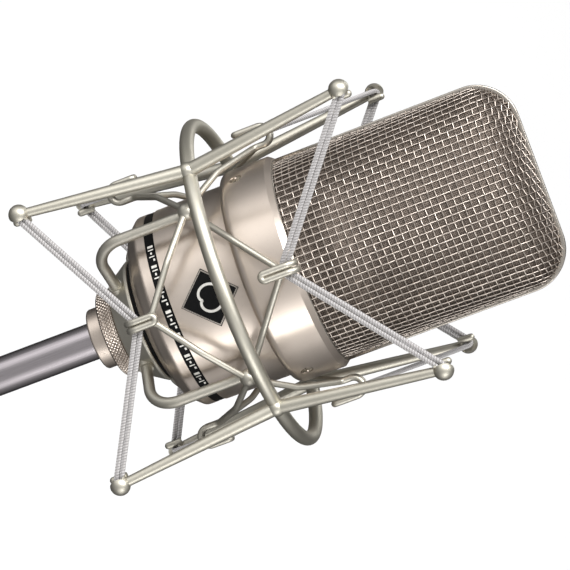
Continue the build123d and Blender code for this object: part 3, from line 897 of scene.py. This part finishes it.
def powder_coat():
    material, tree, shader = start_material("black powder coat")
    peel = speckle(tree, 0.9, 2.0)
    tone = between(tree, "1b1b1d", "2c2c2e", peel)
    bump = bumps(tree, peel, 0.5, 0.1)
    feed(tree, shader, {"Base Color": tone, "Normal": bump, "Roughness": 0.45})
    return material


mount_coat = powder_coat()
zinc_plate = blasted_metal("zinc-plated steel", "bfc0c2", "a5a6aa", 0.28, 0.3, 0.1)
finish_node("stand_socket", mount_coat)
finish_node("locking_lever", mount_coat)
finish_node("pivot_bolt", zinc_plate)
finish_node("thread_bushing", zinc_plate)
finish_node("friction_washers", plain_finish("pressed fibre washer", "6b3d27", "4c2a1a", 0.8, 0.0, 0.7))

# ---------------------------------------------------------------- floor, light and camera
# A plain pale floor with a sun of its own, a pale room with three bright panels for the metal to
# mirror, a soft key from the upper left, a narrow fill, a strip light from behind, and a long lens a
# little above the middle, rolled well over.

FLOOR_REACH, FLOOR_DROP = 60, 0.9
floor_corners = [(FLOOR_REACH * x, FLOOR_REACH * y, 0) for x, y in ((-1, -1), (1, -1), (1, 1), (-1, 1))]
floor_mesh = piece_from("floor", floor_corners, [(0, 1, 2, 3)])
floor_mesh.location.z = cad_box[0][2] - FLOOR_DROP
floor_mesh.visible_glossy = False
pale, pale_tree, pale_shader = start_material("pale floor")
feed(pale_tree, pale_shader, {"Base Color": srgb("fafafa"), "Roughness": 0.9})
floor_mesh.data.materials.append(pale)

world = bpy.data.worlds.new("studio")
bpy.context.scene.world = world
world.use_nodes = True
sky = world.node_tree
direction = add(sky, "ShaderNodeTexCoord").outputs["Generated"]
PANEL_EDGE = 0.86
panels = (
    ((-0.87, -0.49, -0.1), 0.99, 1.15),
    ((0.84, -0.53, -0.1), 0.99, 0.9),
    ((-0.45, 0.45, 0.77), 0.97, 0.4),
)
ways = add(sky, "ShaderNodeSeparateXYZ", Vector=direction)
from_front = rescaled(sky, ways.outputs["Y"], 0.7, -0.45, 0.06, 0.62)
from_below = rescaled(sky, ways.outputs["Z"], -0.9, -0.3, 0.42, 1.0)
light_so_far = maths(sky, "MULTIPLY", from_front, from_below)
for facing, full_from, strength in panels:
    settings = {"operation": "DOT_PRODUCT", 1: Vector(facing).normalized()}
    toward = add(sky, "ShaderNodeVectorMath", settings, in0=direction).outputs["Value"]
    panel = rescaled(sky, toward, PANEL_EDGE, full_from, 0.0, strength)
    light_so_far = maths(sky, "ADD", light_so_far, panel)
sky.links.new(light_so_far, sky.nodes["Background"].inputs["Strength"])
sky.nodes["Background"].inputs["Color"].default_value = srgb("ffffff")

middle = (Vector(cad_box[0]) + Vector(cad_box[1])) / 2


def soft_light(name, place_at, size, power):
    """A large area light that faces the object."""
    light = bpy.data.lights.new(name, "AREA")
    light.shape = "RECTANGLE"
    light.size, light.size_y = size
    light.energy = power
    lamp = bpy.data.objects.new(name, light)
    lamp.location = place_at
    lamp.rotation_euler = (middle - Vector(place_at)).to_track_quat("-Z", "Y").to_euler()
    bpy.context.scene.collection.objects.link(lamp)


soft_light("key", (-0.8, -1.2, 0.7), (0.6, 0.6), 14)
soft_light("fill", (1.0, -0.8, 0.2), (0.3, 0.8), 4)
soft_light("back strip", (-0.3, 0.9, 0.9), (0.9, 0.2), 3)

floor_light = bpy.data.lights.new("floor light", "SUN")
floor_light.energy = 2.5
floor_light.angle = 0.5
sun = bpy.data.objects.new("floor light", floor_light)
sun.rotation_euler = (0.5, -0.35, 0)
bpy.context.scene.collection.objects.link(sun)

camera_data = bpy.data.cameras.new("camera")
camera_data.lens, camera_data.sensor_width = 160.3, 36.0
CAMERA_ROLL = 69.52
camera = bpy.data.objects.new("camera", camera_data)
bpy.context.scene.collection.objects.link(camera)
eye, aim = place(-0.23, -871.99, 134.75), place(5.05, 0.0, -12.03)
looking = (aim - eye).to_track_quat("-Z", "Y").to_matrix()
rolled = looking @ Matrix.Rotation(math.radians(CAMERA_ROLL), 3, "Z")
camera.matrix_world = Matrix.Translation(eye) @ rolled.to_4x4()
bpy.context.scene.camera = camera
bpy.context.scene.view_settings.view_transform = "Standard"
